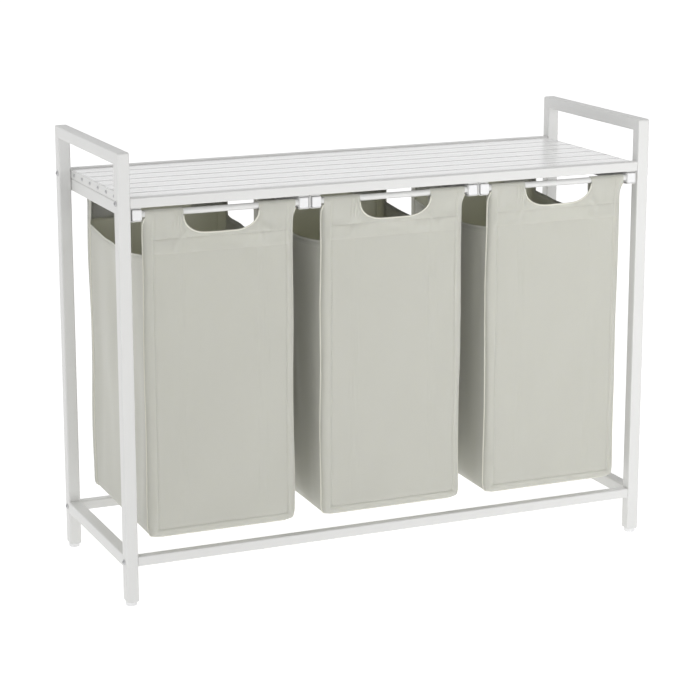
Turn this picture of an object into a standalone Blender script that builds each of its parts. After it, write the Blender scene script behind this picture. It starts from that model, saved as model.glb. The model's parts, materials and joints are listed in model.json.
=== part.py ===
"""Three-bag laundry sorter with a slatted shelf.

Two welded side frames carry four cross rails. Six folded channels hang under the upper rails,
and three fabric bags slide forward in them on plastic blocks.
Metres. +X runs along the length, +Y towards the back, +Z up. The origin is on the floor,
under the middle of the object.
"""

import math

import bmesh
import bpy
from mathutils import Matrix, Vector

# Driving dimensions
LENGTH = 0.925          # over both side frames, without the bolt heads
DEPTH = 0.330
HEIGHT = 0.720
GAP = 0.0003            # between pieces that touch
BAG_COUNT = 3

# Side frames: square tube bent and welded into an inverted U with a lower bar
FRAME_TUBE = 0.020
TUBE_EDGE = 0.002       # rounding of the tube's long edges
FRAME_CORNER = 0.004    # outer corner where leg and handle meet
LOWER_AXIS_Z = 0.072    # centre line of the lower bar and of the lower rails
LEG_BOTTOM_Z = 0.0074

# Cross rails
RAIL_TUBE = 0.016
UPPER_AXIS_Z = 0.6415

# Frame bolts
BOLT_RADIUS = 0.003
BOLT_HOLE_RADIUS = BOLT_RADIUS + GAP
BOLT_HEAD_RADIUS = 0.0045
BOLT_HEAD_HEIGHT = 0.0024
BOLT_REACH = 0.014      # length held in the rail
BOLT_TOP_RADIUS = 0.0028
BOLT_SHOULDER_RADIUS = 0.0041
BOLT_SHOULDER_HEIGHT = 0.0015
BOLT_RIM_HEIGHT = 0.0005
SOCKET_RADIUS = 0.0022
SOCKET_DEPTH = 0.0016

# Feet
FOOT_RADIUS = 0.009
FOOT_EDGE = 0.0015
STEM_RADIUS = 0.004
STEM_LENGTH = 0.012
STEM_CHAMFER = 0.001
FOOT_RIM = 0.0008       # rounding of the glide's upper edge

# Shelf
SLAT_COUNT = 7
SLAT_GAP = 0.004
SLAT_THICKNESS = 0.014
SLAT_EDGE = 0.001
PLATE_THICKNESS = 0.0015
SHELF_EDGE_GAP = 0.0005

# Channels that the blocks slide in, one at each side of each bag
CHANNEL_WALL = 0.0012
CHANNEL_HEIGHT = 0.021
CHANNEL_BEND = 0.0028   # outer radius of the folds
CHANNEL_REACH = 0.0177  # from the back of the web to the lips
CHANNEL_LENGTH = 0.321
BLOCK_TO_WEB = 0.0032   # from the middle between two bags to the block

# Slide blocks and bag tubes
BLOCK_WIDTH = 0.0153
BLOCK_DEPTH = 0.018
BLOCK_HEIGHT = 0.0166
BLOCK_EDGE = 0.0016
BLOCK_BORE_DEPTH = 0.009
BAG_TUBE_RADIUS = 0.005
BAG_TUBE_WALL = 0.0009
BAG_TUBE_GRIP = 0.0085  # length of tube held in a block

# Fabric bags
BAG_WIDTH = 0.247
BAG_BOTTOM_Z = 0.103
BAG_WALL = 0.0024
BAG_SIDE_TOP_Z = 0.556  # the side panels end well below the tubes
BAG_SIDE_SAG = 0.008
SLEEVE_WALL = 0.0013
SLEEVE_OVERHANG = 0.001
SLEEVE_OVERLAP = 0.001  # the wall runs this far up into the sleeve
SLEEVE_INSET = 0.0004   # from the hand hole's edge to the sleeve
HAND_HOLE_WIDTH = 0.124
HAND_HOLE_BOTTOM_Z = 0.588
HAND_HOLE_CORNER = 0.03
CUT_CLEAR = 0.02        # cutters reach this far past the cloth

# Worked out from the dimensions above
FRAME_X = LENGTH / 2 - FRAME_TUBE / 2
LEG_Y = DEPTH / 2 - FRAME_TUBE / 2
INNER_X = LENGTH / 2 - FRAME_TUBE
RAIL_BOTTOM_Z = UPPER_AXIS_Z - RAIL_TUBE / 2
CHANNEL_Z = RAIL_BOTTOM_Z - GAP - CHANNEL_HEIGHT / 2
CELL = 2 * INNER_X / BAG_COUNT
BLOCK_OUTER = CELL / 2 - BLOCK_TO_WEB
BLOCK_INNER = BLOCK_OUTER - BLOCK_WIDTH
SLEEVE_RADIUS = BAG_TUBE_RADIUS + GAP + SLEEVE_WALL

FRONT_BACK = (("front", -1), ("back", 1))
LEFT_RIGHT = (("left", -1), ("right", 1))
UPPER_LOWER = (("upper", UPPER_AXIS_Z), ("lower", LOWER_AXIS_Z))
BAG_NAMES = ("left", "middle", "right")

MERGE_DISTANCE = 0.00002
SHARP_DEG = 50

ALONG_X = Matrix.Rotation(math.radians(90), 4, "Y")
ALONG_Y = Matrix.Rotation(math.radians(90), 4, "X")
FLAT_IN_YZ = Matrix(((0, 0, 1, 0), (1, 0, 0, 0), (0, 1, 0, 0), (0, 0, 0, 1)))


def clear_scene():
    for item in list(bpy.data.objects):
        bpy.data.objects.remove(item, do_unlink=True)


def new_collection(name):
    collection = bpy.data.collections.new(name)
    bpy.context.scene.collection.children.link(collection)
    return collection


def new_material(name, colour, roughness, metallic):
    material = bpy.data.materials.new(name)
    material.use_nodes = True
    shader = material.node_tree.nodes["Principled BSDF"]
    shader.inputs["Base Color"].default_value = (*colour, 1.0)
    shader.inputs["Roughness"].default_value = roughness
    shader.inputs["Metallic"].default_value = metallic
    return material


# Basic shapes

def place(name, mesh, material=None, matrix=Matrix(), parent=None):
    """Add a named piece; without a material it is a cutter."""
    item = bpy.data.objects.new(name, mesh)
    item.matrix_world = matrix
    if material:
        if not mesh.materials:
            mesh.materials.append(material)
        parts.objects.link(item)
    else:
        item.hide_render = True
        item.display_type = "WIRE"
        cutters.objects.link(item)
    if parent:
        item.parent = parent
    return item


def arc(centre, radius, start_deg, end_deg, steps):
    """Points of a circular arc, both ends included."""
    points = []
    for step in range(steps + 1):
        angle = math.radians(start_deg + (end_deg - start_deg) * step / steps)
        points.append((centre[0] + radius * math.cos(angle), centre[1] + radius * math.sin(angle)))
    return points


def rounded_rectangle(width, height, radius, steps=3):
    x = width / 2 - radius
    y = height / 2 - radius
    points = []
    for corner, (side_x, side_y) in enumerate(((1, 1), (-1, 1), (-1, -1), (1, -1))):
        points += arc((side_x * x, side_y * y), radius, 90 * corner, 90 * corner + 90, steps)
    return points


def outline_mesh(name, loops, thickness, edge=0.0):
    """Flat closed outlines filled in XY and thickened along Z, with edges rounded by edge."""
    curve = bpy.data.curves.new(name, "CURVE")
    curve.dimensions = "2D"
    curve.fill_mode = "BOTH"
    curve.extrude = thickness / 2 - edge
    curve.bevel_depth = edge
    curve.bevel_resolution = 1
    curve.offset = -edge
    for points in loops:
        spline = curve.splines.new("POLY")
        spline.points.add(len(points) - 1)
        for point, (x, y) in zip(spline.points, points):
            point.co = (x, y, 0.0, 1.0)
        spline.use_cyclic_u = True
    guide = bpy.data.objects.new(name + "_outline", curve)
    cutters.objects.link(guide)
    bpy.context.view_layer.update()
    evaluated = guide.evaluated_get(bpy.context.evaluated_depsgraph_get())
    mesh = bpy.data.meshes.new_from_object(evaluated)
    bpy.data.objects.remove(guide, do_unlink=True)
    mesh.name = name
    shape = bmesh.new()
    shape.from_mesh(mesh)
    bmesh.ops.remove_doubles(shape, verts=shape.verts, dist=MERGE_DISTANCE)
    bmesh.ops.recalc_face_normals(shape, faces=shape.faces)
    shape.to_mesh(mesh)
    shape.free()
    smooth(mesh)
    return mesh


def box_mesh(name, size, centre=(0, 0, 0)):
    mesh = bpy.data.meshes.new(name)
    shape = bmesh.new()
    fitted = Matrix.Translation(centre) @ Matrix.Diagonal((*size, 1.0))
    bmesh.ops.create_cube(shape, size=1.0, matrix=fitted)
    shape.to_mesh(mesh)
    shape.free()
    return mesh


def rod_mesh(name, radius, length, sides=24):
    """A solid cylinder along Z, centred."""
    mesh = bpy.data.meshes.new(name)
    shape = bmesh.new()
    ends = {"radius1": radius, "radius2": radius, "cap_ends": True}
    bmesh.ops.create_cone(shape, segments=sides, depth=length, **ends)
    shape.to_mesh(mesh)
    shape.free()
    return mesh


def profile_mesh(name, profile, closed=False):
    """Edges through (radius, height) points, for a Screw modifier."""
    mesh = bpy.data.meshes.new(name)
    edges = [(i, i + 1) for i in range(len(profile) - 1)]
    if closed:
        edges.append((len(profile) - 1, 0))
    mesh.from_pydata([(radius, 0.0, height) for radius, height in profile], edges, [])
    return mesh


def turn(item, steps=24):
    screw = item.modifiers.new("Turn", "SCREW")
    screw.steps = steps
    screw.render_steps = steps
    screw.use_merge_vertices = True
    screw.merge_threshold = MERGE_DISTANCE
    screw.use_smooth_shade = False


def boolean(item, operation, others):
    for other in others:
        modifier = item.modifiers.new(operation.title(), "BOOLEAN")
        modifier.operation = operation
        modifier.object = other


def finished_mesh(item):
    """The mesh of an item with its modifiers applied."""
    bpy.context.view_layer.update()
    evaluated = item.evaluated_get(bpy.context.evaluated_depsgraph_get())
    mesh = bpy.data.meshes.new_from_object(evaluated)
    mesh.name = item.name
    return mesh


def smooth(mesh):
    mesh.shade_smooth()
    mesh.set_sharp_from_angle(angle=math.radians(SHARP_DEG))


def at(x, y, z, turned=Matrix()):
    return Matrix.Translation((x, y, z)) @ turned


# Frame

def side_frame_mesh():
    """Outline of one side frame in the YZ plane, with the wide opening above its lower bar."""
    outer = DEPTH / 2
    inner = outer - FRAME_TUBE
    bar_bottom = LOWER_AXIS_Z - FRAME_TUBE / 2
    corner_y = outer - FRAME_CORNER
    corner_z = HEIGHT - FRAME_CORNER
    outline = [(outer, LEG_BOTTOM_Z)]
    outline += arc((corner_y, corner_z), FRAME_CORNER, 0, 90, 4)
    outline += arc((-corner_y, corner_z), FRAME_CORNER, 90, 180, 4)
    outline += [(-outer, LEG_BOTTOM_Z), (-inner, LEG_BOTTOM_Z), (-inner, bar_bottom)]
    outline += [(inner, bar_bottom), (inner, LEG_BOTTOM_Z)]
    opening_bottom = LOWER_AXIS_Z + FRAME_TUBE / 2
    opening_top = HEIGHT - FRAME_TUBE
    opening = [(-inner, opening_bottom), (-inner, opening_top)]
    opening += [(inner, opening_top), (inner, opening_bottom)]
    return outline_mesh("side_frame", [outline, opening], FRAME_TUBE, TUBE_EDGE)


def make_side_frames():
    mesh = side_frame_mesh()
    bolt_drill = rod_mesh("bolt_drill", BOLT_HOLE_RADIUS, 3 * FRAME_TUBE, 16)
    stem_drill = rod_mesh("stem_drill", STEM_RADIUS + GAP, 2 * (STEM_LENGTH + GAP), 16)
    for side, sign in LEFT_RIGHT:
        x = sign * FRAME_X
        frame = place(f"side_frame_{side}", mesh.copy(), painted, at(x, 0, 0, FLAT_IN_YZ))
        drills = []
        for end, end_sign in FRONT_BACK:
            y = end_sign * LEG_Y
            for level, z in UPPER_LOWER:
                spot = at(x, y, z, ALONG_X)
                drills.append(place(f"drill_{side}_{end}_{level}", bolt_drill, matrix=spot))
            foot_spot = at(x, y, LEG_BOTTOM_Z)
            drills.append(place(f"drill_foot_{side}_{end}", stem_drill, matrix=foot_spot))
        boolean(frame, "DIFFERENCE", drills)


def make_rails():
    length = 2 * (INNER_X - GAP)
    section = rounded_rectangle(RAIL_TUBE, RAIL_TUBE, TUBE_EDGE)
    mesh = outline_mesh("cross_rail", [section], length)
    bore_depth = BOLT_REACH + 2 * GAP
    drill = rod_mesh("rail_drill", BOLT_HOLE_RADIUS, 2 * bore_depth, 16)
    for level, z in UPPER_LOWER:
        for end, sign in FRONT_BACK:
            spot = at(0, sign * LEG_Y, z, ALONG_X)
            rail = place(f"{level}_rail_{end}", mesh.copy(), painted, spot)
            drills = []
            for side, side_sign in LEFT_RIGHT:
                middle = at(side_sign * length / 2, sign * LEG_Y, z, ALONG_X)
                drills.append(place(f"drill_{level}_{end}_{side}", drill, matrix=middle))
            boolean(rail, "DIFFERENCE", drills)


def make_bolts():
    """Button-head bolts with a hexagon socket, through the legs into the ends of the rails."""
    shank = FRAME_TUBE + GAP + BOLT_REACH
    profile = [(0.0, BOLT_HEAD_HEIGHT), (BOLT_TOP_RADIUS, BOLT_HEAD_HEIGHT)]
    profile += [(BOLT_SHOULDER_RADIUS, BOLT_SHOULDER_HEIGHT), (BOLT_HEAD_RADIUS, BOLT_RIM_HEIGHT)]
    profile += [(BOLT_HEAD_RADIUS, GAP), (BOLT_RADIUS, GAP), (BOLT_RADIUS, -shank), (0.0, -shank)]
    blank = place("bolt_blank", profile_mesh("bolt", profile))
    turn(blank, 20)
    socket = rod_mesh("bolt_socket", SOCKET_RADIUS, 2 * SOCKET_DEPTH, 6)
    boolean(blank, "DIFFERENCE", [place("bolt_socket", socket, matrix=at(0, 0, BOLT_HEAD_HEIGHT))])
    mesh = finished_mesh(blank)
    smooth(mesh)
    for side, side_sign in LEFT_RIGHT:
        outwards = Matrix.Rotation(math.radians(90 * side_sign), 4, "Y")
        for end, end_sign in FRONT_BACK:
            for level, z in UPPER_LOWER:
                spot = at(side_sign * LENGTH / 2, end_sign * LEG_Y, z, outwards)
                place(f"bolt_{side}_{end}_{level}", mesh, zinc, spot)


def make_feet():
    """Round glides with a stem that plugs into the leg."""
    top = LEG_BOTTOM_Z - GAP
    profile = [(0.0, top + STEM_LENGTH), (STEM_RADIUS - STEM_CHAMFER, top + STEM_LENGTH)]
    profile += [(STEM_RADIUS, top + STEM_LENGTH - STEM_CHAMFER), (STEM_RADIUS, top)]
    profile += [(FOOT_RADIUS - FOOT_RIM, top), (FOOT_RADIUS, top - FOOT_RIM)]
    profile += arc((FOOT_RADIUS - FOOT_EDGE, FOOT_EDGE), FOOT_EDGE, 0, -90, 3)
    profile.append((0.0, 0.0))
    blank = place("foot_blank", profile_mesh("foot", profile))
    turn(blank)
    mesh = finished_mesh(blank)
    smooth(mesh)
    for side, side_sign in LEFT_RIGHT:
        for end, end_sign in FRONT_BACK:
            place(f"foot_{side}_{end}", mesh, plastic, at(side_sign * FRAME_X, end_sign * LEG_Y, 0))


# Shelf

def make_shelf():
    room = 2 * (LEG_Y - RAIL_TUBE / 2 - GAP)
    depth = room - 2 * SHELF_EDGE_GAP
    width = (depth - (SLAT_COUNT - 1) * SLAT_GAP) / SLAT_COUNT
    pitch = width + SLAT_GAP
    z = RAIL_BOTTOM_Z + SLAT_THICKNESS / 2
    plate_outer = INNER_X - GAP
    slat_end = plate_outer - PLATE_THICKNESS - GAP
    section = rounded_rectangle(SLAT_THICKNESS, width, SLAT_EDGE)
    mesh = outline_mesh("slat", [section], 2 * slat_end)
    for number in range(SLAT_COUNT):
        y = (number - (SLAT_COUNT - 1) / 2) * pitch
        place(f"shelf_slat_{number + 1}", mesh, slat_paint, at(0, y, z, ALONG_X))
    plate = box_mesh("end_plate", (PLATE_THICKNESS, depth, SLAT_THICKNESS))
    plate_x = plate_outer - PLATE_THICKNESS / 2
    for side, sign in LEFT_RIGHT:
        place(f"shelf_end_plate_{side}", plate, painted, at(sign * plate_x, 0, z))


# Channels

def channel_outline():
    """C section in XZ that opens towards -X, its web's back at x = 0."""
    half = CHANNEL_HEIGHT / 2
    lip = -CHANNEL_REACH
    bend_x = -CHANNEL_BEND
    bend_z = half - CHANNEL_BEND
    inner_bend = CHANNEL_BEND - CHANNEL_WALL
    points = [(lip, -half)]
    points += arc((bend_x, -bend_z), CHANNEL_BEND, -90, 0, 3)
    points += arc((bend_x, bend_z), CHANNEL_BEND, 0, 90, 3)
    points += [(lip, half), (lip, half - CHANNEL_WALL)]
    points += arc((bend_x, bend_z), inner_bend, 90, 0, 3)
    points += arc((bend_x, -bend_z), inner_bend, 0, -90, 3)
    points.append((lip, -half + CHANNEL_WALL))
    return points


def make_channels():
    mesh = outline_mesh("channel", [channel_outline()], CHANNEL_LENGTH)
    half_turn = Matrix.Rotation(math.radians(180), 4, "Z")
    for number, bag in enumerate(BAG_NAMES):
        middle = (number - (BAG_COUNT - 1) / 2) * CELL
        for side, sign in LEFT_RIGHT:
            turned = ALONG_Y if sign > 0 else half_turn @ ALONG_Y
            spot = at(middle + sign * (CELL / 2 - GAP), 0, CHANNEL_Z, turned)
            place(f"channel_{bag}_bag_{side}", mesh, painted, spot)


# Bags

def bag_mesh():
    """Open fabric bag about its own centre line, at its real height."""
    half_depth = LEG_Y + BAG_WALL / 2
    wall_top = CHANNEL_Z - BAG_TUBE_RADIUS + SLEEVE_OVERLAP
    height = wall_top - BAG_BOTTOM_Z
    size = (BAG_WIDTH, 2 * half_depth, height)
    bag = place("bag_blank", box_mesh("bag_outer", size, (0, 0, BAG_BOTTOM_Z + height / 2)))

    cavity_size = (BAG_WIDTH - 2 * BAG_WALL, 2 * (half_depth - BAG_WALL), height)
    cavity_z = BAG_BOTTOM_Z + BAG_WALL + height / 2
    cavity = place("bag_cavity", box_mesh("bag_cavity", cavity_size), matrix=at(0, 0, cavity_z))

    half_span = half_depth - BAG_WALL
    sag_radius = (half_span ** 2 + BAG_SIDE_SAG ** 2) / (2 * BAG_SIDE_SAG)
    half_angle = math.degrees(math.asin(half_span / sag_radius))
    sag_centre = (0, BAG_SIDE_TOP_Z - BAG_SIDE_SAG + sag_radius)
    side_edge = arc(sag_centre, sag_radius, -90 - half_angle, -90 + half_angle, 8)
    side_edge += [(half_span, wall_top + CUT_CLEAR), (-half_span, wall_top + CUT_CLEAR)]
    side_window = outline_mesh("bag_side_window", [side_edge], 2 * BAG_WIDTH)
    sides = place("bag_side_window", side_window, matrix=at(0, 0, 0, FLAT_IN_YZ))

    half_hole = HAND_HOLE_WIDTH / 2
    corner_x = half_hole - HAND_HOLE_CORNER
    corner_z = HAND_HOLE_BOTTOM_Z + HAND_HOLE_CORNER
    hole = arc((-corner_x, corner_z), HAND_HOLE_CORNER, 180, 270, 6)
    hole += arc((corner_x, corner_z), HAND_HOLE_CORNER, 270, 360, 6)
    hole += [(half_hole, wall_top + CUT_CLEAR), (-half_hole, wall_top + CUT_CLEAR)]
    hand_hole = outline_mesh("bag_hand_hole", [hole], 3 * half_depth)
    hands = place("bag_hand_hole", hand_hole, matrix=at(0, 0, 0, ALONG_Y))
    boolean(bag, "DIFFERENCE", [cavity, sides, hands])

    sleeve_start = half_hole + SLEEVE_INSET
    sleeve_end = BAG_WIDTH / 2 + SLEEVE_OVERHANG
    sleeve = rod_mesh("bag_sleeve", SLEEVE_RADIUS, sleeve_end - sleeve_start)
    bore = rod_mesh("bag_sleeve_bore", BAG_TUBE_RADIUS + GAP, 2 * BAG_WIDTH)
    sleeves = []
    bores = []
    for end, end_sign in FRONT_BACK:
        y = end_sign * LEG_Y
        bores.append(place(f"sleeve_bore_{end}", bore, matrix=at(0, y, CHANNEL_Z, ALONG_X)))
        for side, side_sign in LEFT_RIGHT:
            x = side_sign * (sleeve_start + sleeve_end) / 2
            spot = at(x, y, CHANNEL_Z, ALONG_X)
            sleeves.append(place(f"sleeve_{end}_{side}", sleeve, matrix=spot))
    boolean(bag, "UNION", sleeves)
    boolean(bag, "DIFFERENCE", bores)
    mesh = finished_mesh(bag)
    smooth(mesh)
    return mesh


def bag_tube_mesh():
    half = BLOCK_INNER + BAG_TUBE_GRIP
    inner = BAG_TUBE_RADIUS - BAG_TUBE_WALL
    profile = [(BAG_TUBE_RADIUS, half), (BAG_TUBE_RADIUS, -half), (inner, -half), (inner, half)]
    blank = place("bag_tube_blank", profile_mesh("bag_tube", profile, closed=True))
    turn(blank)
    mesh = finished_mesh(blank)
    smooth(mesh)
    return mesh


def block_mesh():
    """Slide block with a blind hole on its -X side for the tube."""
    blank = place("block_blank", box_mesh("block", (BLOCK_WIDTH, BLOCK_DEPTH, BLOCK_HEIGHT)))
    bevel = blank.modifiers.new("Edges", "BEVEL")
    bevel.width = BLOCK_EDGE
    bevel.segments = 2
    drill = rod_mesh("block_drill", BAG_TUBE_RADIUS + GAP, 2 * BLOCK_BORE_DEPTH)
    drill_spot = at(-BLOCK_WIDTH / 2, 0, 0, ALONG_X)
    boolean(blank, "DIFFERENCE", [place("block_drill", drill, matrix=drill_spot)])
    mesh = finished_mesh(blank)
    smooth(mesh)
    return mesh


def make_bags():
    bag = bag_mesh()
    tube = bag_tube_mesh()
    block = block_mesh()
    half_turn = Matrix.Rotation(math.radians(180), 4, "Z")
    block_x = (BLOCK_INNER + BLOCK_OUTER) / 2
    for number, name in enumerate(BAG_NAMES):
        slide = bpy.data.objects.new(f"slide_{name}", None)
        slide.location = Vector(((number - (BAG_COUNT - 1) / 2) * CELL, 0, 0))
        parts.objects.link(slide)
        place(f"bag_{name}", bag, fabric, parent=slide)
        for end, end_sign in FRONT_BACK:
            y = end_sign * LEG_Y
            place(f"bag_tube_{name}_{end}", tube, painted, at(0, y, CHANNEL_Z, ALONG_X), slide)
            for side, side_sign in LEFT_RIGHT:
                turned = Matrix() if side_sign > 0 else half_turn
                spot = at(side_sign * block_x, y, CHANNEL_Z, turned)
                place(f"block_{name}_{end}_{side}", block, plastic, spot, slide)


clear_scene()
parts = new_collection("laundry_sorter")
cutters = new_collection("laundry_sorter_cutters")
painted = new_material("white_powder_coat", (0.82, 0.82, 0.81), 0.42, 0.0)
slat_paint = new_material("white_gloss_paint", (0.88, 0.88, 0.88), 0.30, 0.0)
plastic = new_material("white_plastic", (0.86, 0.86, 0.86), 0.38, 0.0)
zinc = new_material("zinc_plated_steel", (0.60, 0.60, 0.61), 0.35, 1.0)
fabric = new_material("grey_green_fabric", (0.52, 0.52, 0.46), 0.90, 0.0)
make_side_frames()
make_rails()
make_bolts()
make_feet()
make_shelf()
make_channels()
make_bags()
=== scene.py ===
"""The looks of a laundry sorter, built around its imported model.

Each plain CAD bag is replaced by a sewn one: two panels and a gusset of woven cloth, settled by
cloth simulation, with piping, bindings, hems and stitches. Screws are added to the shelf's ends.
Every surface has a procedural material. Metres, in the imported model's frame.
"""

import json
import math

import bmesh
import bpy
import numpy as np
from mathutils import Matrix, Vector
from mathutils.bvhtree import BVHTree


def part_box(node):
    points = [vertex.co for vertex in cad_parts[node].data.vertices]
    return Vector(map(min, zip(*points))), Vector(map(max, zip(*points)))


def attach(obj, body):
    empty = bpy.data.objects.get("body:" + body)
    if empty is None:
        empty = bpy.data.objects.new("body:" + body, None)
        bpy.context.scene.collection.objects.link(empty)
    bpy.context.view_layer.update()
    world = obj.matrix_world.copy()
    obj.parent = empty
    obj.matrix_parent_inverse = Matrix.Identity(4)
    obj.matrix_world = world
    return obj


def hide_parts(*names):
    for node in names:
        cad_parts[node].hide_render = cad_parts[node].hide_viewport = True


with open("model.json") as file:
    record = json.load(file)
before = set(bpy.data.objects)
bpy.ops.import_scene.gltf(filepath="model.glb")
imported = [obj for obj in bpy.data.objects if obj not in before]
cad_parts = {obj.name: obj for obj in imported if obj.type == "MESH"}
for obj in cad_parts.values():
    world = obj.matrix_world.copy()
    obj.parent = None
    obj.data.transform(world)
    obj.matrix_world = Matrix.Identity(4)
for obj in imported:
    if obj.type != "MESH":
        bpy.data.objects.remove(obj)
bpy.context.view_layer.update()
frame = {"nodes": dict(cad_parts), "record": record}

BAG_NAMES = ("left", "middle", "right")
FRONT_BACK = (("front", -1), ("back", 1))
LEFT_RIGHT = (("left", -1), ("right", 1))

# Bag pattern
FIRST_SEED = 11            # of the left bag's random folds; the others follow on
CLOTH = 0.0011             # thickness of the cloth
BAG_HALF_WIDTH = 0.1235
BAND = 0.0115              # the front panel's edge turns back over this width, to a piped seam
BAND_PROFILES = {          # outwards from the panel's edge, and back from its face, in BAND_UNIT
    "front": ((36, 4), (66, 16), (88, 36), (102, 60), (110, 85), (115, 104)),
    "back": ((36, 4), (66, 16), (86, 40), (92, 80), (86, 125), (78, 185)),
}
BAND_UNIT = 0.0001
BAND_STEPS = len(BAND_PROFILES["front"])
BAND_TOP_Z = 0.600         # from here up the bands flatten out, towards the sleeve
GUSSET_STEPS = 22
PANEL_CORNER = 0.005       # radius of the panel's lower corners
CORNER_STEPS = 4
CORNER_SQUARENESS = 0.75   # of the bag's outline there: 0 is round and 1 is square
WALL_STEPS = 26
SIDE_TOP_Z = 0.556         # the ends of the side panels' upper edges
SIDE_SAG = 0.009           # of that edge's middle, below its ends
SAG_START_Z = 0.400
LOWER_STITCH_Z = 0.559
UPPER_STITCH_Z = 0.582
SLEEVE_START_Z = 0.585     # rows stay level up to here; above, they follow the hand hole
HEM_ROWS_Z = (
    0.5575, LOWER_STITCH_Z, 0.561, 0.5645, 0.5695, 0.5745,
    0.579, 0.5805, UPPER_STITCH_Z, 0.5835, SLEEVE_START_Z,
)
SLEEVE_CLEAR = 0.0003      # between tube and cloth
SLEEVE_STEPS = 8           # over the tube
SLEEVE_ROW_LENGTH = 0.004  # of cloth from row to row round the tube
FLAP_ROWS_Z = (0.612, 0.600, 0.590, UPPER_STITCH_Z, 0.572, 0.5625)   # of the sleeve's end inside the bag
HOLE_HALF = 0.062
HOLE_BOTTOM_Z = 0.588
HOLE_CORNER = 0.038        # its corners are quarter ellipses
HOLE_RISE = 0.028
HOLE_TOP_Z = HOLE_BOTTOM_Z + HOLE_RISE
HOLE_ROWS = 5
PLEATS_END = 0.080         # columns stand close together from the hole's edge out to here
TINY = 1e-6

# Sewing
PIPING_RADIUS = 0.0011
PIPING_OUT = 0.0009        # its centre stands this far outside the cloth
PIPING_PITCH = 0.004
BINDING_HALF_WIDTH = 0.0013
BINDING_HALF_HEIGHT = 0.00115
BINDING_PITCH = 0.003
BINDING_TOP_GAP = 0.0055   # from the binding's ends up to the tube's middle
HEM_HALF_WIDTH = 0.0018
HEM_HALF_HEIGHT = 0.0008
HEM_PITCH = 0.006
HEM_DROP = 0.0010          # of the hem's middle below the side panel's edge
STITCH_PITCH = 0.0042
STITCH_LENGTH = 0.0030
STITCH_WIDTH = 0.00032
STITCH_HEIGHT = 0.00022
STITCH_LIFT = 0.4          # a thread's middle is this share of its height above the cloth
STITCH_SIDES = 6
STITCH_SECTIONS = ((-1.0, 0.0), (-0.6, 1.0), (0.6, 1.0), (1.0, 0.0))   # share of length, of width
STITCH_REACH = 0.02        # the surface is looked for within this distance
SEAM_INSET = 0.003         # of stitches from the panel's edges
SEAM_TOP_GAP = 0.004       # from the hem's lower stitches down to the ends of the seam's
HOLE_STITCH_OFFSET = 0.0036
HOLE_STITCH_GAP = 0.008    # from the tube's middle down to the ends of the stitches round the hole
HOLE_STITCH_STEPS = 12
SIDE_STITCH_DROP = 0.010   # below the side panels' edges
SIDE_STITCH_RUN = (0.03, 0.97)   # shares of the depth where they start and end
SIDE_STITCH_STEPS = 24

# Relief in the sewn panels. Each width is where a bump has fallen to about a third.
GROOVE_DEPTH = 0.0010
GROOVE_WIDTH = 0.0013
HEM_STEP = 0.0010
HEM_STEP_START = 0.0016    # below the lower stitches
HEM_STEP_RISE = 0.0012
PUCKER_HEIGHT = 0.00035
PUCKER_PITCHES = (0.013, 0.029)
PUCKER_Z = 0.570
PUCKER_BAND = 0.012
PLEATS = ((0.0662, 0.0044), (0.0706, 0.0036), (0.0760, 0.0020))   # distance from the middle, height
PLEAT_WIDTH = 0.0014
PLEAT_START_Z = 0.589
PLEAT_RISE = 0.012
PLEAT_LEAN = 0.0025
CREASES = 14
CREASE_ZONE_X = (-0.105, 0.105)
CREASE_ZONE_Z = (0.545, 0.592)
CREASE_TILT = 0.5
UPRIGHT_CREASES = 0.4      # share of them
CREASE_LENGTH = 0.026
CREASE_WIDTH = 0.0075
CREASE_HEIGHTS = (0.0009, 0.0018)
HOLE_CREASES = 3           # fanning out from each lower corner of the hand hole
HOLE_CREASE_X = 0.058
HOLE_CREASE_Z = 0.596
HOLE_CREASE_ANGLES = (0.2, 1.2)
HOLE_CREASE_START = 0.008
HOLE_CREASE_LENGTH = 0.030
HOLE_CREASE_WIDTH = 0.0035
HOLE_CREASE_HEIGHTS = (0.0010, 0.0018)
TOP_FOLDS = 2              # upright, near each upper corner of a panel
TOP_FOLD_ZONE = (0.086, 0.104)
TOP_FOLD_WIDTH = 0.0042
TOP_FOLD_HEIGHTS = (0.0014, 0.0024)
TOP_FOLD_START_Z = 0.566
TOP_FOLD_RISE = 0.03
RIDGE_HEIGHT = 0.0009      # along a panel's edge, and the depth of the valley inside it
RIDGE_WIDTH = 0.0012
VALLEY_INSET = 0.0028
DENT_DEPTH = 0.0026        # at a panel's lower corners
DENT_INSET = 0.003
DENT_WIDTH = 0.0045
RELIEF_TOP_GAP = 0.004     # the sleeve is smooth from this far below the tube's middle
SIDE_FOLD = 0.0018         # depth of the soft upright folds in the side panels
SIDE_FOLD_PITCHES = ((0.048, 0.062), (0.085, 0.12))
SIDE_FOLD_LEAN = 0.05
SIDE_FOLD_UPRIGHT_Z = 0.35
SIDE_FOLD_END_Y = 0.140    # they fade out towards the seams, the bottom and the upper edge
SIDE_FOLD_SEAM_FADE = 0.03
SIDE_FOLD_BOTTOM_Z = 0.125
SIDE_FOLD_TOP_Z = 0.535
SIDE_FOLD_FADE = 0.06

# Cloth simulation
SETTLE_FRAMES = 14
SETTLE_LIMIT = 0.0035      # how far a point may end from the pattern
SEAM_HOLD = 0.35           # how firmly the seams hold their points
HELD_AT_FLOOR = 0.004      # height above the bag's bottom that is held fully
FLOOR_FADE = 0.02
HELD_SLEEVE_Z = HOLE_TOP_Z - 0.002   # the tube holds the cloth above this
RIPPLE = 0.0016 / 3        # height of each wave that the cloth starts with
RIPPLE_WAVES = 7
RIPPLE_ACROSS = (4.0, 17.0)   # waves a metre
RIPPLE_UP = (-5.0, 5.0)
PANEL_RIPPLE = 0.6         # share of it in the panels
FACE_DEPTH = 0.004         # this deep behind a panel's face, a wave moves the cloth sideways instead
FACE_FADE = 0.003


# Mesh helpers

SWEEP_SIDES = 8


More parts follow.
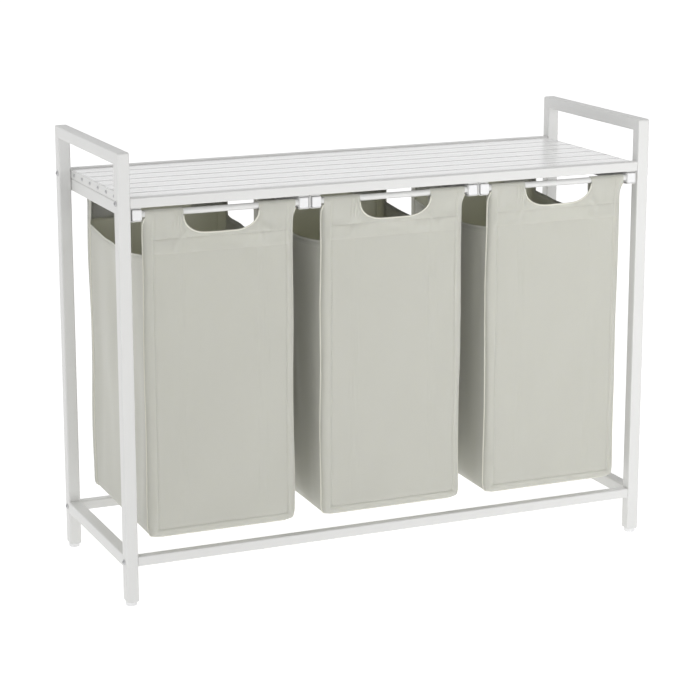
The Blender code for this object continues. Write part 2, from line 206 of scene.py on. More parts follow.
def new_object(name, mesh, material, body):
    """A new piece of one material, which rides on a body."""
    item = bpy.data.objects.new(name, mesh)
    bpy.context.scene.collection.objects.link(item)
    mesh.materials.clear()
    mesh.materials.append(material)
    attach(item, body)
    return item


def mesh_from(name, points, faces):
    mesh = bpy.data.meshes.new(name)
    mesh.from_pydata([tuple(map(float, p)) for p in points], [], faces)
    mesh.shade_smooth()
    return mesh


def smoothstep(value):
    value = np.clip(value, 0.0, 1.0)
    return value * value * (3 - 2 * value)


def bump(distance, width):
    """1 at no distance, and about a third at one width."""
    return np.exp(-(distance / width) ** 2)


def mask(indices, count):
    """1 at each of the indices and 0 elsewhere, over count points."""
    marks = np.zeros(count)
    marks[list(indices)] = 1.0
    return marks


def lengths_along(path):
    """How far along a path each of its points is."""
    return np.r_[0.0, np.cumsum(np.linalg.norm(np.diff(path, axis=0), axis=1))]


def resample(path, pitch):
    """Points at an even pitch along a path."""
    path = np.asarray(path, float)
    lengths = lengths_along(path)
    count = max(2, int(round(lengths[-1] / pitch)) + 1)
    places = np.linspace(0.0, lengths[-1], count)
    return np.stack([np.interp(places, lengths, path[:, axis]) for axis in range(3)], axis=1)


def directions(path):
    """Unit steps along a path, one for each point."""
    steps = np.gradient(path, axis=0)
    return steps / np.linalg.norm(steps, axis=1)[:, None]


def sweep(name, path, outward, half_width, half_height):
    """A closed rod with an elliptical section along a path; half_height is measured along outward."""
    path = np.asarray(path, float)
    along = directions(path)
    across = np.cross(along, outward)
    across /= np.linalg.norm(across, axis=1)[:, None]
    up = np.cross(across, along)
    points = []
    for centre, side_way, up_way in zip(path, across, up):
        for step in range(SWEEP_SIDES):
            angle = 2 * math.pi * step / SWEEP_SIDES
            offset = side_way * half_width * math.cos(angle) + up_way * half_height * math.sin(angle)
            points.append(centre + offset)
    faces = []
    for ring in range(len(path) - 1):
        for step in range(SWEEP_SIDES):
            a = ring * SWEEP_SIDES + step
            b = ring * SWEEP_SIDES + (step + 1) % SWEEP_SIDES
            faces.append((a, b, b + SWEEP_SIDES, a + SWEEP_SIDES))
    faces.append(tuple(reversed(range(SWEEP_SIDES))))
    last = (len(path) - 1) * SWEEP_SIDES
    faces.append(tuple(range(last, last + SWEEP_SIDES)))
    mesh = mesh_from(name, points, faces)
    turn_outwards(mesh)
    return mesh


def turn_outwards(mesh):
    shape = bmesh.new()
    shape.from_mesh(mesh)
    bmesh.ops.recalc_face_normals(shape, faces=shape.faces)
    shape.to_mesh(mesh)
    shape.free()


# Materials

class Recipe:
    """A Principled material and short ways to add nodes to it."""

    def __init__(self, name, colour, roughness, metallic=0.0):
        self.material = bpy.data.materials.new(name)
        self.material.use_nodes = True
        self.tree = self.material.node_tree
        self.shader = self.tree.nodes["Principled BSDF"]
        self.shader.inputs["Base Color"].default_value = (*colour, 1.0)
        self.shader.inputs["Roughness"].default_value = roughness
        self.shader.inputs["Metallic"].default_value = metallic

    def add(self, kind, **settings):
        node = self.tree.nodes.new(kind)
        for key, value in settings.items():
            setattr(node, key, value)
        return node

    def put(self, socket, value):
        if isinstance(value, bpy.types.NodeSocket):
            self.tree.links.new(value, socket)
        else:
            socket.default_value = value

    def calc(self, operation, a, b=0.0):
        node = self.add("ShaderNodeMath", operation=operation)
        self.put(node.inputs[0], a)
        self.put(node.inputs[1], b)
        return node.outputs[0]

    def mix(self, a, share_a, b, share_b):
        """The sum of two values, each times its own share."""
        return self.calc("ADD", self.calc("MULTIPLY", a, share_a), self.calc("MULTIPLY", b, share_b))

    def spread(self, value, low, high):
        """Maps 0..1 to low..high."""
        node = self.add("ShaderNodeMapRange")
        self.put(node.inputs["Value"], value)
        node.inputs["To Min"].default_value = low
        node.inputs["To Max"].default_value = high
        return node.outputs["Result"]

    def noise(self, scale, detail=2.0, stretch=(1.0, 1.0, 1.0), vector=None):
        if vector is None:
            vector = self.add("ShaderNodeTexCoord").outputs["Object"]
        mapping = self.add("ShaderNodeMapping")
        self.put(mapping.inputs["Vector"], vector)
        mapping.inputs["Scale"].default_value = stretch
        texture = self.add("ShaderNodeTexNoise")
        self.put(texture.inputs["Vector"], mapping.outputs["Vector"])
        texture.inputs["Scale"].default_value = scale
        texture.inputs["Detail"].default_value = detail
        return texture.outputs["Fac"]

    def tint(self, value, low, high):
        """Colours between low and high, by a value of 0..1."""
        node = self.add("ShaderNodeMix", data_type="RGBA")
        self.put(node.inputs["Factor"], value)
        node.inputs[6].default_value = (*low, 1.0)
        node.inputs[7].default_value = (*high, 1.0)
        self.put(self.shader.inputs["Base Color"], node.outputs[2])

    def roughness(self, value, low, high):
        self.put(self.shader.inputs["Roughness"], self.spread(value, low, high))

    def bump(self, height, strength, distance):
        node = self.add("ShaderNodeBump")
        node.inputs["Strength"].default_value = strength
        node.inputs["Distance"].default_value = distance
        self.put(node.inputs["Height"], height)
        self.put(self.shader.inputs["Normal"], node.outputs["Normal"])


def powder_coat():
    recipe = Recipe("white_powder_coat", (0.72, 0.72, 0.71), 0.42)
    recipe.tint(recipe.noise(14.0), (0.695, 0.695, 0.682), (0.725, 0.725, 0.715))
    orange_peel = recipe.noise(850.0, 3.0)
    recipe.roughness(orange_peel, 0.36, 0.50)
    recipe.bump(orange_peel, 0.35, 0.00025)
    return recipe.material


def slat_paint():
    """Gloss paint with the grain of the wood just showing through."""
    recipe = Recipe("white_gloss_paint", (0.93, 0.93, 0.93), 0.25)
    grain = recipe.noise(260.0, 4.0, (0.03, 1.0, 1.0))
    recipe.tint(recipe.noise(9.0), (0.920, 0.920, 0.920), (0.945, 0.945, 0.943))
    recipe.roughness(grain, 0.20, 0.32)
    recipe.bump(grain, 0.30, 0.00030)
    recipe.shader.inputs["Coat Weight"].default_value = 0.5
    recipe.shader.inputs["Coat Roughness"].default_value = 0.14
    return recipe.material


def white_plastic():
    recipe = Recipe("white_plastic", (0.80, 0.80, 0.80), 0.38)
    texture = recipe.noise(1400.0, 2.0)
    recipe.tint(recipe.noise(60.0), (0.79, 0.79, 0.795), (0.82, 0.82, 0.825))
    recipe.roughness(texture, 0.32, 0.46)
    recipe.bump(texture, 0.25, 0.00012)
    return recipe.material


def zinc():
    recipe = Recipe("zinc_plated_steel", (0.55, 0.55, 0.56), 0.34, 1.0)
    crystals = recipe.noise(700.0, 3.0)
    recipe.tint(crystals, (0.46, 0.46, 0.47), (0.60, 0.60, 0.61))
    recipe.roughness(crystals, 0.26, 0.46)
    recipe.bump(crystals, 0.2, 0.0001)
    return recipe.material


def woven(name, low, high, thread):
    """Plain-woven cloth. The UV map is in metres, so thread is the real pitch of the threads."""
    recipe = Recipe(name, low, 0.85)
    uv = recipe.add("ShaderNodeUVMap", uv_map="cloth").outputs["UV"]
    parts = recipe.add("ShaderNodeSeparateXYZ")
    recipe.put(parts.inputs[0], uv)
    turns = math.pi / thread
    warp = recipe.calc("SINE", recipe.calc("MULTIPLY", parts.outputs["X"], turns))
    weft = recipe.calc("SINE", recipe.calc("MULTIPLY", parts.outputs["Y"], turns))
    weave = recipe.spread(recipe.calc("MULTIPLY", warp, weft), 0.0, 1.0)
    slubs = recipe.noise(1.0, 2.0, (1100.0, 70.0, 1.0), uv)
    cross_slubs = recipe.noise(1.0, 2.0, (70.0, 1100.0, 1.0), uv)
    streaks = recipe.mix(slubs, 0.5, cross_slubs, 0.5)
    broad = recipe.noise(9.0, 3.0, (1.0, 1.0, 1.0), uv)
    recipe.tint(recipe.mix(streaks, 0.6, broad, 0.4), low, high)
    recipe.roughness(streaks, 0.74, 0.92)
    recipe.bump(recipe.mix(weave, 0.7, streaks, 0.6), 0.30, 0.00022)
    recipe.shader.inputs["Sheen Weight"].default_value = 0.12
    recipe.shader.inputs["Sheen Roughness"].default_value = 0.45
    recipe.shader.inputs["Subsurface Weight"].default_value = 0.7
    recipe.shader.inputs["Subsurface Radius"].default_value = (1.0, 1.0, 0.9)
    recipe.shader.inputs["Subsurface Scale"].default_value = 0.003
    return recipe.material


def trim_cloth(name, low, high):
    """Narrow bias tape and thread, too fine for a weave of its own."""
    recipe = Recipe(name, low, 0.8)
    fibres = recipe.noise(1500.0, 3.0)
    recipe.tint(fibres, low, high)
    recipe.roughness(fibres, 0.68, 0.88)
    recipe.bump(fibres, 0.35, 0.00020)
    recipe.shader.inputs["Sheen Weight"].default_value = 0.2
    return recipe.material


materials = {
    "powder_coat": powder_coat(),
    "slat_paint": slat_paint(),
    "white_plastic": white_plastic(),
    "zinc": zinc(),
    "bag_fabric": woven("grey_green_cloth", (0.518, 0.517, 0.465), (0.558, 0.557, 0.503), 0.0009),
}
tape = trim_cloth("pale_tape", (0.66, 0.65, 0.57), (0.74, 0.73, 0.65))
thread = trim_cloth("grey_green_thread", (0.55, 0.55, 0.49), (0.63, 0.63, 0.57))


def finish_cad_nodes():
    """Gives each carried-over CAD node its record slot's material."""
    slots = {part["node"]: part["material_slot"] for part in frame["record"]["subparts"]}
    for name, node in frame["nodes"].items():
        node.data.materials.clear()
        node.data.materials.append(materials[slots[name]])


# Bag pattern

class Pattern:
    """Points of one bag: two panels, their bands, and the gusset between them."""

    def __init__(self, name, seed):
        self.name = name
        self.rng = np.random.default_rng(seed)
        low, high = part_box(f"bag_{name}")
        tube_low, tube_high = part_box(f"bag_tube_{name}_front")
        self.centre_x = (low.x + high.x) / 2
        self.bottom_z = low.z + CLOTH / 2
        self.tube_z = (tube_low.z + tube_high.z) / 2
        self.tube_y = abs(tube_low.y + tube_high.y) / 2
        self.loop = (tube_high.z - tube_low.z) / 2 + SLEEVE_CLEAR + CLOTH / 2
        self.panel_x = BAG_HALF_WIDTH - BAND - CLOTH / 2
        self.panel_bottom = self.bottom_z + BAND
        self.core_x = self.panel_x - PANEL_CORNER
        self.core_z = self.panel_bottom + PANEL_CORNER
        self.columns = self.make_columns()
        self.make_rows()
        self.points = []
        self.panel_uv = []
        self.gusset_uv = {}
        self.faces = []
        self.face_on_gusset = []
        self.build_panels()
        self.build_bands()
        self.build_gusset()

    def make_columns(self):
        """Places across a panel, closest together at the hole's corners and the pleats beside it."""
        straight = np.linspace(0.0, HOLE_HALF - HOLE_CORNER, 4)
        angles = np.linspace(0.0, math.pi / 2, 11)[1:]
        curved = HOLE_HALF - HOLE_CORNER + HOLE_CORNER * np.sin(angles)
        pleats = np.linspace(HOLE_HALF, PLEATS_END, 12)[1:]
        outer = np.linspace(PLEATS_END, self.core_x, 5)[1:]
        corner = np.linspace(self.core_x, self.panel_x, CORNER_STEPS + 1)[1:]
        half = np.concatenate([straight, curved, pleats, outer, corner])
        return np.concatenate([-half[:0:-1], half])

    def make_rows(self):
        """Heights of the flat rows, then (outward, z) places of the rows that go round the tube."""
        corner = np.linspace(self.panel_bottom, self.core_z, CORNER_STEPS + 1)
        wall = np.linspace(self.core_z, SIDE_TOP_Z, WALL_STEPS + 1)[1:]
        self.side_row = len(corner) + len(wall) - 1
        self.flat_rows = [*corner, *wall, *HEM_ROWS_Z]
        self.first_hole_row = len(self.flat_rows)
        self.hole_rows = np.linspace(0.0, 1.0, HOLE_ROWS + 1)[1:]
        self.last_hole_row = self.first_hole_row + len(self.hole_rows) - 1
        over = []
        for angle in np.linspace(0.0, math.pi, SLEEVE_STEPS + 1):
            over.append((self.loop * math.cos(angle), self.tube_z + self.loop * math.sin(angle)))
        for z in FLAP_ROWS_Z:
            over.append((-CLOTH - self.rise(z), z))
        self.sleeve_rows = over
        self.row_count = self.last_hole_row + 1 + len(over)

    def rise(self, z):
        """How far outside the tube's middle the cloth is at a height, below the tube."""
        share = smoothstep((z - SLEEVE_START_Z) / (self.tube_z - SLEEVE_START_Z))
        return float(CLOTH / 2 + share * (self.loop - CLOTH / 2))

    def hole_edge(self, x):
        """Height of the hand hole's edge above x."""
        over = max(0.0, abs(x) - (HOLE_HALF - HOLE_CORNER))
        return HOLE_TOP_Z - HOLE_RISE * math.sqrt(max(0.0, 1.0 - (over / HOLE_CORNER) ** 2))

    def panel_place(self, column, row):
        """(x, outward, z, length along the cloth) of a panel point."""
        x = self.columns[column]
        if row < self.first_hole_row:
            z = self.flat_rows[row]
        elif row <= self.last_hole_row:
            share = self.hole_rows[row - self.first_hole_row]
            top = HOLE_TOP_Z if abs(x) > HOLE_HALF - TINY else self.hole_edge(x)
            z = SLEEVE_START_Z + share * (top - SLEEVE_START_Z)
        else:
            outward, z = self.sleeve_rows[row - self.last_hole_row - 1]
            return x, outward, z, HOLE_TOP_Z + SLEEVE_ROW_LENGTH * (row - self.last_hole_row)
        over_x = abs(x) - self.core_x
        under_z = self.core_z - z
        if over_x > TINY and under_z > TINY:
            length = math.hypot(over_x, under_z)
            share = max(over_x, under_z) / length
            x = math.copysign(self.core_x + over_x * share, x)
            z = self.core_z - under_z * share
        return x, self.rise(z), z, z

    def is_cloth(self, column, row):
        """Whether a panel has cloth there: above its edge, the hand hole is open."""
        return row <= self.last_hole_row or abs(self.columns[column]) > HOLE_HALF - TINY

    def add(self, x, y, z, uv=None):
        self.points.append((self.centre_x + x, y, z))
        self.panel_uv.append(uv)
        return len(self.points) - 1

    def add_faces(self, grid, on_gusset=False):
        """A face between each key of a grid and its three neighbours, where all four have cloth."""
        for *end, a, b in grid:
            corners = [(*end, a, b), (*end, a + 1, b), (*end, a + 1, b + 1), (*end, a, b + 1)]
            if all(corner in grid for corner in corners):
                self.faces.append([grid[corner] for corner in corners])
                self.face_on_gusset.append(on_gusset)

    def build_panels(self):
        self.panels = {}
        for end, sign in FRONT_BACK:
            for column in range(len(self.columns)):
                for row in range(self.row_count):
                    if self.is_cloth(column, row):
                        x, outward, z, length = self.panel_place(column, row)
                        y = sign * (self.tube_y + outward)
                        self.panels[end, column, row] = self.add(x, y, z, (x, length))
        self.add_faces(self.panels)

    def build_bands(self):
        """The turned edges, from each point of a panel's rim out to the seam."""
        last = len(self.columns) - 1
        self.rim = [(0, row) for row in range(self.row_count - 1, -1, -1)]
        self.rim += [(column, 0) for column in range(1, last + 1)]
        self.rim += [(last, row) for row in range(1, self.row_count)]
        self.bands = {}
        for end, sign in FRONT_BACK:
            for place, (column, row) in enumerate(self.rim):
                self.bands[end, place, 0] = self.panels[end, column, row]
                x, outward, z, length = self.panel_place(column, row)
                out_x, out_z = self.rim_normal(x, z)
                fade = 1.0 - float(smoothstep((z - BAND_TOP_Z) / (self.tube_z - BAND_TOP_Z)))
                for step, (out, fall) in enumerate(BAND_PROFILES[end], 1):
                    out *= BAND_UNIT
                    fall *= BAND_UNIT * fade
                    y = sign * (self.tube_y + outward - fall)
                    uv = (x + out_x * out, length + out_z * out)
                    self.bands[end, place, step] = self.add(x + out_x * out, y, z + out_z * out, uv)
        self.add_faces(self.bands)

    def rim_normal(self, x, z):
        """The way out of a panel at its rim. It is longer than 1 at the corners, which squares them."""
        if z >= self.core_z:
            return math.copysign(1.0, x), 0.0
        core = (max(-self.core_x, min(self.core_x, x)), self.core_z)
        normal = np.array([x - core[0], z - core[1]])
        normal /= np.linalg.norm(normal)
        return normal / max(abs(normal)) ** CORNER_SQUARENESS

    def build_gusset(self):
        """The strip between the seams: down one side, under the bag and up the other side."""
        self.gusset = {}
        self.side_places = [place for place, (_, row) in enumerate(self.rim) if row <= self.side_row]
        seam = [self.bands["front", place, BAND_STEPS] for place in range(len(self.rim))]
        run = lengths_along([self.points[index] for index in seam])
        for place in self.side_places:
            front = self.bands["front", place, BAND_STEPS]
            back = self.bands["back", place, BAND_STEPS]
            start = np.array(self.points[front])
            end = np.array(self.points[back])
            for step in range(GUSSET_STEPS + 1):
                share = step / GUSSET_STEPS
                x, y, z = start + share * (end - start)
                near_top = smoothstep((z - SAG_START_Z) / (SIDE_TOP_Z - SAG_START_Z))
                z -= SIDE_SAG * near_top * 4 * share * (1 - share)
                if 0 < step < GUSSET_STEPS:
                    index = self.add(x - self.centre_x, y, z)
                else:
                    index = back if step else front
                self.gusset[place, step] = index
                self.gusset_uv[index] = (y, run[place])
        self.add_faces(self.gusset, on_gusset=True)

    def mesh(self):
        mesh = mesh_from(f"bag_cloth_{self.name}", self.points, self.faces)
        layer = mesh.uv_layers.new(name="cloth")
        for face, on_gusset in zip(mesh.polygons, self.face_on_gusset):
            source = self.gusset_uv if on_gusset else self.panel_uv
            for loop in face.loop_indices:
                layer.data[loop].uv = source[mesh.loops[loop].vertex_index]
        turn_outwards(mesh)
        return mesh

    def hold(self):
        """How firmly each point is held in the simulation: the tubes and the floor board hold it fully."""
        z = np.array(self.points)[:, 2]
        hold = np.where(z > HELD_SLEEVE_Z, 1.0, 0.0)
        hold = np.maximum(hold, 1.0 - smoothstep((z - self.bottom_z - HELD_AT_FLOOR) / FLOOR_FADE))
        for (_, _, step), index in self.bands.items():
            if step == BAND_STEPS:
                hold[index] = max(hold[index], SEAM_HOLD)
        return hold

    def ripple(self):
        """Low waves across the cloth, none at the held edges."""
        co = np.array(self.points)
        x = co[:, 0] - self.centre_x
        waves = np.zeros(len(co))
        for _ in range(RIPPLE_WAVES):
            across = self.rng.uniform(*RIPPLE_ACROSS)
            up = self.rng.uniform(*RIPPLE_UP)
            phase = self.rng.uniform(0.0, 2 * math.pi)
            waves += np.sin(2 * math.pi * (across * (x + co[:, 1]) + up * co[:, 2]) + phase)
        waves *= RIPPLE * (1.0 - self.hold())
        face_y = self.tube_y + CLOTH / 2
        on_panel = smoothstep((np.abs(co[:, 1]) - face_y + FACE_DEPTH) / FACE_FADE)
        shift = np.zeros_like(co)
        shift[:, 1] = np.sign(co[:, 1]) * waves * on_panel * PANEL_RIPPLE
        shift[:, 0] = np.sign(x) * waves * (1 - on_panel)
        return shift


# Cloth

def settle(bag, pattern):
    """Shapes the bag's mesh: the pattern, as the simulation settles it, with the sewing's relief."""
    flat = np.array(pattern.points)
    start = flat + pattern.ripple()
    bag.data.vertices.foreach_set("co", start.ravel())
    bag.data.update()
    settled = simulate(bag, pattern)
    moved = settled - flat
    length = np.linalg.norm(moved, axis=1)
    moved *= np.minimum(1.0, SETTLE_LIMIT / np.maximum(length, TINY))[:, None]
    final = flat + moved + sewn_relief(pattern)
    bag.data.vertices.foreach_set("co", final.ravel())
    bag.data.update()
    return final


def simulate(bag, pattern):
    """Hangs the bag from its tubes under gravity and returns its settled points."""
    group = bag.vertex_groups.new(name="held")
    for index, weight in enumerate(pattern.hold()):
        if weight > 0.0:
            group.add([index], float(weight), "REPLACE")
    cloth = bag.modifiers.new("Settle", "CLOTH")
    settings = cloth.settings
    settings.quality = 6
    settings.mass = 0.02
    settings.tension_stiffness = 60
    settings.compression_stiffness = 60
    settings.shear_stiffness = 30
    settings.bending_stiffness = 12
    settings.air_damping = 4
    settings.vertex_group_mass = group.name
    cloth.collision_settings.use_collision = False
    cloth.point_cache.frame_end = SETTLE_FRAMES
    scene = bpy.context.scene
    for number in range(1, SETTLE_FRAMES + 1):
        scene.frame_set(number)
    evaluated = bag.evaluated_get(bpy.context.evaluated_depsgraph_get())
    settled = np.empty(len(evaluated.data.vertices) * 3)
    evaluated.data.vertices.foreach_get("co", settled)
    bag.modifiers.remove(cloth)
    scene.frame_set(1)
    return settled.reshape(-1, 3)


def sewn_relief(pattern):
    """How far the sewing and the folds move each point of the settled cloth."""
    co = np.array(pattern.points)
    rng = pattern.rng
    x = co[:, 0] - pattern.centre_x
    z = co[:, 2]
    # One draw more than is used keeps the folds that follow as they are.
    *pucker_phases, lean_phase, _ = rng.uniform(0.0, 2 * math.pi, 4)
    lean = PLEAT_LEAN * math.sin(lean_phase) * (z - HOLE_BOTTOM_Z) / HOLE_RISE
    outward = hem_relief(x, z, pucker_phases)
    outward += pleat_relief(x, z, lean, pattern.tube_z)
    outward += crease_relief(x, z, rng)
    outward += hole_crease_relief(x, z, rng)
    outward += top_fold_relief(x, z, lean, rng)
    outward += edge_relief(pattern.panel_x - np.abs(x), z - pattern.panel_bottom)
    on_panel = mask(pattern.panels.values(), len(co)) * (z < pattern.tube_z - RELIEF_TOP_GAP)
    shift = np.zeros_like(co)
    shift[:, 1] = np.sign(co[:, 1]) * outward * on_panel
    shift[:, 0] = side_folds(pattern, x, co[:, 1], z)
    return shift


def hem_relief(x, z, phases):
    """The hem's step, a groove at each row of its stitches, and puckers between the rows."""
    relief = HEM_STEP * smoothstep((z - LOWER_STITCH_Z + HEM_STEP_START) / HEM_STEP_RISE)
    for stitch_z in (LOWER_STITCH_Z, UPPER_STITCH_Z):
        relief -= GROOVE_DEPTH * bump(z - stitch_z, GROOVE_WIDTH)
    for pitch, phase in zip(PUCKER_PITCHES, phases):
        waves = np.sin(2 * math.pi * x / pitch + phase)
        relief += PUCKER_HEIGHT * waves * bump(z - PUCKER_Z, PUCKER_BAND)
    return relief


def pleat_relief(x, z, lean, tube_z):
    """Narrow pleats beside the hand hole, on its left as seen from the front."""
    relief = np.zeros(len(x))
    for place, height in PLEATS:
        relief += height * bump(-x - place - lean, PLEAT_WIDTH)
    return relief * smoothstep((z - PLEAT_START_Z) / PLEAT_RISE) * (z < tube_z)


def crease_relief(x, z, rng):
    """Soft creases scattered over the hem, some nearly upright and the others nearly level."""
    relief = np.zeros(len(x))
    for _ in range(CREASES):
        from_x = x - rng.uniform(*CREASE_ZONE_X)
        from_z = z - rng.uniform(*CREASE_ZONE_Z)
        angle = rng.uniform(-CREASE_TILT, CREASE_TILT)
        if rng.random() < UPRIGHT_CREASES:
            angle += math.pi / 2
        along = from_x * math.cos(angle) + from_z * math.sin(angle)
        across = from_z * math.cos(angle) - from_x * math.sin(angle)
        height = rng.choice((-1.0, 1.0)) * rng.uniform(*CREASE_HEIGHTS)
        relief += height * bump(along, CREASE_LENGTH) * bump(across, CREASE_WIDTH)
    return relief


def hole_crease_relief(x, z, rng):
    """Creases that fan out, downwards and to the side, from the lower corners of the hand hole."""
    relief = np.zeros(len(x))
    for side in (-1, 1):
        from_x = side * x - HOLE_CREASE_X
        from_z = z - HOLE_CREASE_Z
        for angle in rng.uniform(*HOLE_CREASE_ANGLES, HOLE_CREASES):
            along = from_x * math.cos(angle) - from_z * math.sin(angle)
            across = from_x * math.sin(angle) + from_z * math.cos(angle)
            crease = smoothstep(along / HOLE_CREASE_START) * bump(along, HOLE_CREASE_LENGTH)
            relief += rng.uniform(*HOLE_CREASE_HEIGHTS) * crease * bump(across, HOLE_CREASE_WIDTH)
    return relief


def top_fold_relief(x, z, lean, rng):
    """Upright folds near each upper corner of a panel."""
    relief = np.zeros(len(x))
    for side in (-1, 1):
        for place in rng.uniform(*TOP_FOLD_ZONE, TOP_FOLDS):
            height = rng.choice((-1.0, 1.0)) * rng.uniform(*TOP_FOLD_HEIGHTS)
            relief += height * bump(side * x - place - lean, TOP_FOLD_WIDTH)
    return relief * smoothstep((z - TOP_FOLD_START_Z) / TOP_FOLD_RISE)


def edge_relief(inside_x, inside_z):
    """A ridge along a panel's sides and bottom, a valley inside it, and a dent at each lower corner."""
    inside = np.minimum(inside_x, inside_z)
    ridge = bump(inside, RIDGE_WIDTH) - bump(inside - VALLEY_INSET, RIDGE_WIDTH)
    corner = np.hypot(inside_x - DENT_INSET, inside_z - DENT_INSET)
    return RIDGE_HEIGHT * ridge - DENT_DEPTH * bump(corner, DENT_WIDTH)


def side_folds(pattern, x, y, z):
    """How far soft upright folds move the side panels along X. They only draw them in."""
    inner = [index for (_, step), index in pattern.gusset.items() if 0 < step < GUSSET_STEPS]
    free = mask(inner, len(x)) * smoothstep((SIDE_FOLD_END_Y - np.abs(y)) / SIDE_FOLD_SEAM_FADE)
    free *= smoothstep((z - SIDE_FOLD_BOTTOM_Z) / SIDE_FOLD_FADE)
    free *= smoothstep((SIDE_FOLD_TOP_Z - z) / SIDE_FOLD_FADE)
    moved = np.zeros(len(x))
    for _, side in LEFT_RIGHT:
        waves = np.zeros(len(x))
        for pitch in [pattern.rng.uniform(*pitches) for pitches in SIDE_FOLD_PITCHES]:
            lean = pattern.rng.uniform(-SIDE_FOLD_LEAN, SIDE_FOLD_LEAN) * (z - SIDE_FOLD_UPRIGHT_Z)
            phase = pattern.rng.uniform(0.0, 2 * math.pi)
            waves += np.sin(2 * math.pi * (y + lean) / pitch + phase)
        moved -= side * SIDE_FOLD * (1.0 + waves / 2) * free * (side * x > 0)
    return moved


# Sewn details

def add_piping(pattern, final, body):
    """A cord of bias tape along each panel's seam, from sleeve to sleeve round the bottom."""
    middle = np.array([pattern.centre_x, 0.0, pattern.core_z])
    for end, sign in FRONT_BACK:
        path = []
        for place, (column, row) in enumerate(pattern.rim):
            if row <= pattern.last_hole_row:
                point = final[pattern.bands[end, place, BAND_STEPS]].copy()
                out = point - middle
                out[1] = 0.0
                if point[2] > pattern.core_z:
                    out[2] = 0.0
                elif abs(out[0]) < pattern.core_x:
                    out[0] = 0.0
                path.append(point + out / np.linalg.norm(out) * PIPING_OUT)
        name = f"bag_piping_{pattern.name}_{end}"
        path = resample(path, PIPING_PITCH)
        mesh = sweep(name, path, (0.0, sign, 0.0), PIPING_RADIUS, PIPING_RADIUS)
        new_object(mesh.name, mesh, tape, body)


def add_hole_binding(pattern, final, body):
    """Tape folded over the edge of each hand hole."""
    for end, sign in FRONT_BACK:
        path = []
        for column, x in enumerate(pattern.columns):
            if abs(x) < HOLE_HALF + TINY:
                path.append(final[pattern.panels[end, column, pattern.last_hole_row]])
        top = np.array([0.0, 0.0, pattern.tube_z - HOLE_TOP_Z - BINDING_TOP_GAP])
        name = f"bag_hole_binding_{pattern.name}_{end}"
        path = resample([path[0] + top, *path, path[-1] + top], BINDING_PITCH)
        mesh = sweep(name, path, (0.0, sign, 0.0), BINDING_HALF_WIDTH, BINDING_HALF_HEIGHT)
        new_object(mesh.name, mesh, tape, body)


def add_side_hems(pattern, final, body):
    """The folded top edge of each side panel."""
    ends = (pattern.side_places[0], pattern.side_places[-1])
    for (side, sign), place in zip(LEFT_RIGHT, ends):
        name = f"bag_hem_{pattern.name}_{side}"
        path = [final[pattern.gusset[place, step]] for step in range(GUSSET_STEPS + 1)]
        path = resample(path, HEM_PITCH) - np.array([0.0, 0.0, HEM_DROP])
        mesh = sweep(name, path, (sign, 0.0, 0.0), HEM_HALF_WIDTH, HEM_HALF_HEIGHT)
        new_object(mesh.name, mesh, thread, body)


class Stitches:
    """Short threads laid along lines on a bag's surface, gathered into one mesh."""

    def __init__(self, surface):
        self.surface = surface
        self.points = []
        self.faces = []

    def line(self, path, facing):
        """Stitches along a path, dropped onto the surface from the side that facing points to."""
        path = resample(path, STITCH_PITCH)
        facing = Vector(facing)
        for point, along in zip(path, directions(path)):
            start = Vector(point) + facing * STITCH_REACH
            hit, normal, _, _ = self.surface.ray_cast(start, -facing, 2 * STITCH_REACH)
            if hit is None:
                continue
            if normal.dot(facing) < 0:
                normal = -normal
            self.stitch(hit, Vector(along), normal)

    def stitch(self, centre, along, normal):
        """One thread, pointed at both ends."""
        along = (along - normal * along.dot(normal)).normalized()
        across = normal.cross(along)
        base = len(self.points)
        sides = STITCH_SIDES
        for share, width in STITCH_SECTIONS:
            lift = normal * (STITCH_HEIGHT * STITCH_LIFT)
            middle = centre + along * (share * STITCH_LENGTH / 2) + lift
            for step in range(sides if width else 1):
                angle = 2 * math.pi * step / sides
                sideways = across * (math.cos(angle) * STITCH_WIDTH)
                upwards = normal * (math.sin(angle) * STITCH_HEIGHT)
                self.points.append(middle + (sideways + upwards) * width)
        first, second, tip = base + 1, base + 1 + sides, base + 1 + 2 * sides
        for step in range(sides):
            after = (step + 1) % sides
            self.faces.append((base, first + after, first + step))
            self.faces.append((first + step, first + after, second + after, second + step))
            self.faces.append((second + step, second + after, tip))


def hole_stitch_path(pattern, y):
    """Round the hand hole, a little outside its edge."""
    reach = HOLE_HALF + HOLE_STITCH_OFFSET
    end_z = pattern.tube_z - HOLE_STITCH_GAP
    path = [(pattern.centre_x - reach, y, end_z)]
    for side, first_angle in ((-1, 180), (1, 270)):
        corner_x = pattern.centre_x + side * (HOLE_HALF - HOLE_CORNER)
        for angle in np.radians(np.linspace(first_angle, first_angle + 90, HOLE_STITCH_STEPS)):
            x = corner_x + (HOLE_CORNER + HOLE_STITCH_OFFSET) * math.cos(angle)
            path.append((x, y, HOLE_TOP_Z + (HOLE_RISE + HOLE_STITCH_OFFSET) * math.sin(angle)))
    path.append((pattern.centre_x + reach, y, end_z))
    return path


def seam_stitch_path(pattern, y):
    """Down one side of a panel, along its bottom and up the other side."""
    left = pattern.centre_x - pattern.panel_x + SEAM_INSET
    right = pattern.centre_x + pattern.panel_x - SEAM_INSET
    top_z = LOWER_STITCH_Z - SEAM_TOP_GAP
    low_z = pattern.panel_bottom + SEAM_INSET
    return [(left, y, top_z), (left, y, low_z), (right, y, low_z), (right, y, top_z)]


def side_stitch_path(pattern, x):
    """Below the sagging upper edge of a side panel."""
    path = []
    for share in np.linspace(*SIDE_STITCH_RUN, SIDE_STITCH_STEPS):
        z = SIDE_TOP_Z - SIDE_STITCH_DROP - SIDE_SAG * 4 * share * (1 - share)
        path.append((x, pattern.tube_y * (2 * share - 1), z))
    return path


